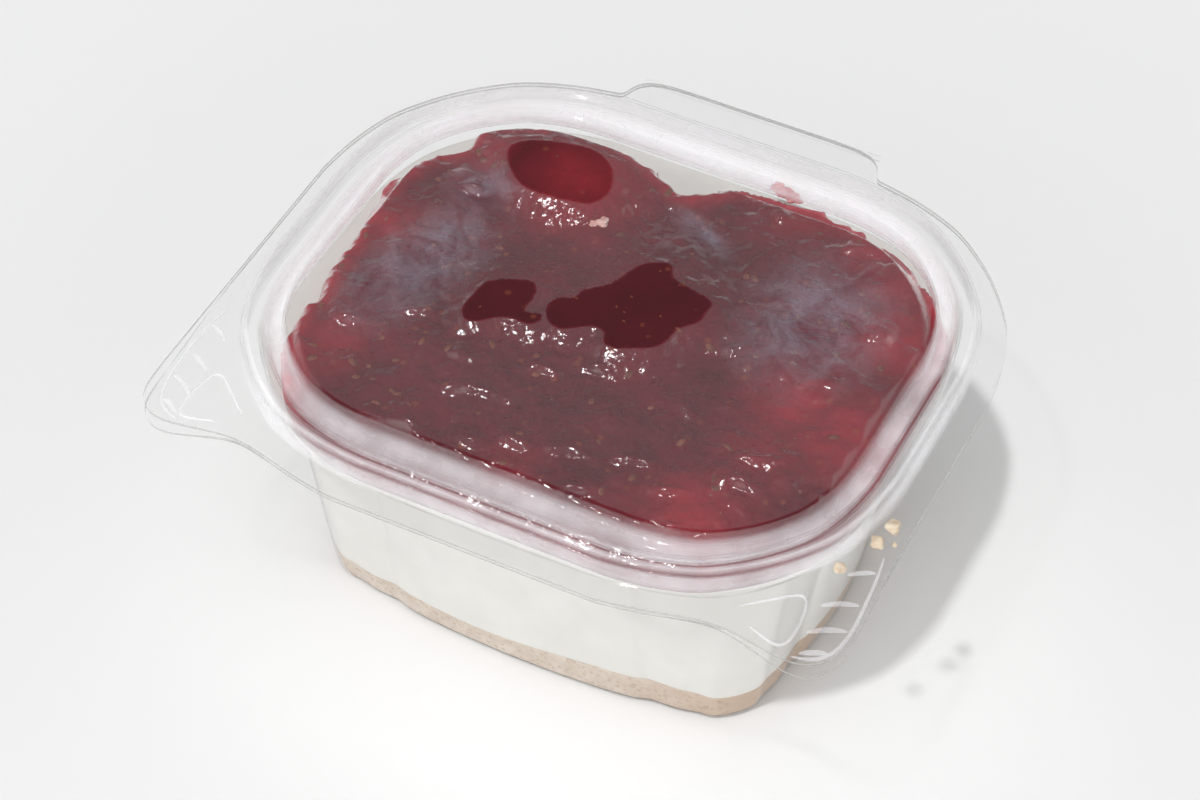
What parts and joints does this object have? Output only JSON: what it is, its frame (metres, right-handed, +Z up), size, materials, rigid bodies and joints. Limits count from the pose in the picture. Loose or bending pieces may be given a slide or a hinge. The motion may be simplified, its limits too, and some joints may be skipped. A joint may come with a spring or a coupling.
{
  "type": "cheesecake in a hinged clear tub",
  "caption": "Layered cheesecake with a biscuit base and raspberry jam, in a clear rectangular tub with a shut hinged lid and lift tabs.",
  "frame": {"origin": "on the table under the middle of the whole part's outline, flanges and hinge included", "axes": "+Z up, X along the long side, the hinge at +Y and the lift tabs at the -Y corners"},
  "size_m": [0.1406, 0.127, 0.0608],
  "materials": {
    "tub_plastic": "clear, glossy, thin formed sheet",
    "lid_plastic": "clear, glossy, misted on its inside",
    "biscuit": "pressed biscuit crumb, matte",
    "cream_cheese": "smooth white cream, satin",
    "raspberry_jam": "wet dark red jam with seeds"
  },
  "bodies": {
    "tub": {"tub": "tub_plastic", "biscuit_base": "biscuit", "cheesecake": "cream_cheese", "raspberry_jam": "raspberry_jam"},
    "lid": {"lid": "lid_plastic"}
  },
  "joints": [
    {"name": "lid_hinge", "type": "hinge", "parent": "tub", "child": "lid", "pos_m": [0, 0.06365, 0.05415], "axis": [-1, 0, 0], "range_deg": [0, 180]}
  ]
}
